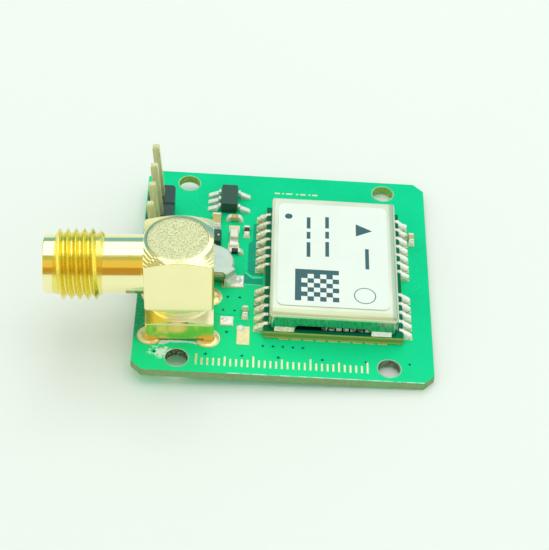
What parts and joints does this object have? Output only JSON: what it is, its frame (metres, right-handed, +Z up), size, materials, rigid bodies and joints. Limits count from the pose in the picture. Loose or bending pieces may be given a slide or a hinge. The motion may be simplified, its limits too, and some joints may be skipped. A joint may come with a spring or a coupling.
{
  "type": "satellite navigation development board",
  "caption": "Small green circuit board with a shielded castellated receiver module, a right-angle threaded coaxial jack, an upright pin header, a backup cell and chip parts.",
  "frame": {"origin": "centre of the four mounting holes on the board's underside", "axes": "+X away from the jack's barrel along the board's width, +Y to the board's back edge, +Z up out of the component side"},
  "size_m": [0.0344, 0.0256, 0.0114],
  "materials": {
    "laminate": "glossy mint-green solder mask over glass laminate",
    "land_plate": "thin gold flash, matt",
    "jack_gold": "bright gold plate over brass, polished",
    "cap_gold": "gold plate, grained like orange peel",
    "fluoropolymer": "white fluoropolymer",
    "contact_gold": "gold plate, satin",
    "jack_solder": "bright solder with yellow flux",
    "header_plastic": "black glass-filled plastic",
    "pin_plate": "pale gold plate",
    "solder": "bright reflowed solder",
    "module_laminate": "green solder mask, yellow-brown cut edges",
    "module_solder": "satin solder",
    "shield": "tinned steel, satin, slightly warm",
    "can_solder": "bright solder",
    "label": "white polymer film, matt",
    "chip_plastic": "black moulding compound",
    "lid_metal": "pale metal lid",
    "tan_ceramic": "tan ceramic, smooth",
    "cell_steel": "satin nickel-plated steel",
    "tab_steel": "satin nickel-plated steel strip",
    "moulding": "dark green-black moulding compound, satin",
    "tin": "bright tin plate",
    "lamp": "milky clear resin",
    "black_ceramic": "black glaze",
    "green_ceramic": "pale green ceramic"
  },
  "bodies": {
    "root": {"circuit_board": "laminate", "copper_lands": "land_plate", "jack_body": "jack_gold", "jack_cap": "cap_gold", "jack_insulator": "fluoropolymer", "jack_contact": "contact_gold", "jack_tail_pin": "contact_gold", "jack_tail_insulator": "fluoropolymer", "jack_solder": "jack_solder", "header_base": "header_plastic", "header_pins": "pin_plate", "header_solder": "solder", "module_board": "module_laminate", "module_solder": "module_solder", "shield_can": "shield", "can_solder": "can_solder", "module_label": "label", "receiver_chip": "chip_plastic", "clock_oscillator": "lid_metal", "signal_filter": "lid_metal", "low_noise_amplifier": "chip_plastic", "clock_crystal": "lid_metal", "module_passives": "tan_ceramic", "backup_cell": "cell_steel", "cell_top_tab": "tab_steel", "cell_bottom_tab": "tab_steel", "regulator_body": "moulding", "regulator_leads": "tin", "diode_body": "moulding", "diode_leads": "tin", "indicator_led": "lamp", "indicator_ends": "tin", "capacitor_bodies": "tan_ceramic", "capacitor_ends": "tin", "resistor_bodies": "black_ceramic", "resistor_ends": "tin", "inductor_body": "green_ceramic", "inductor_ends": "tin", "chip_solder": "solder"}
  },
  "joints": []
}
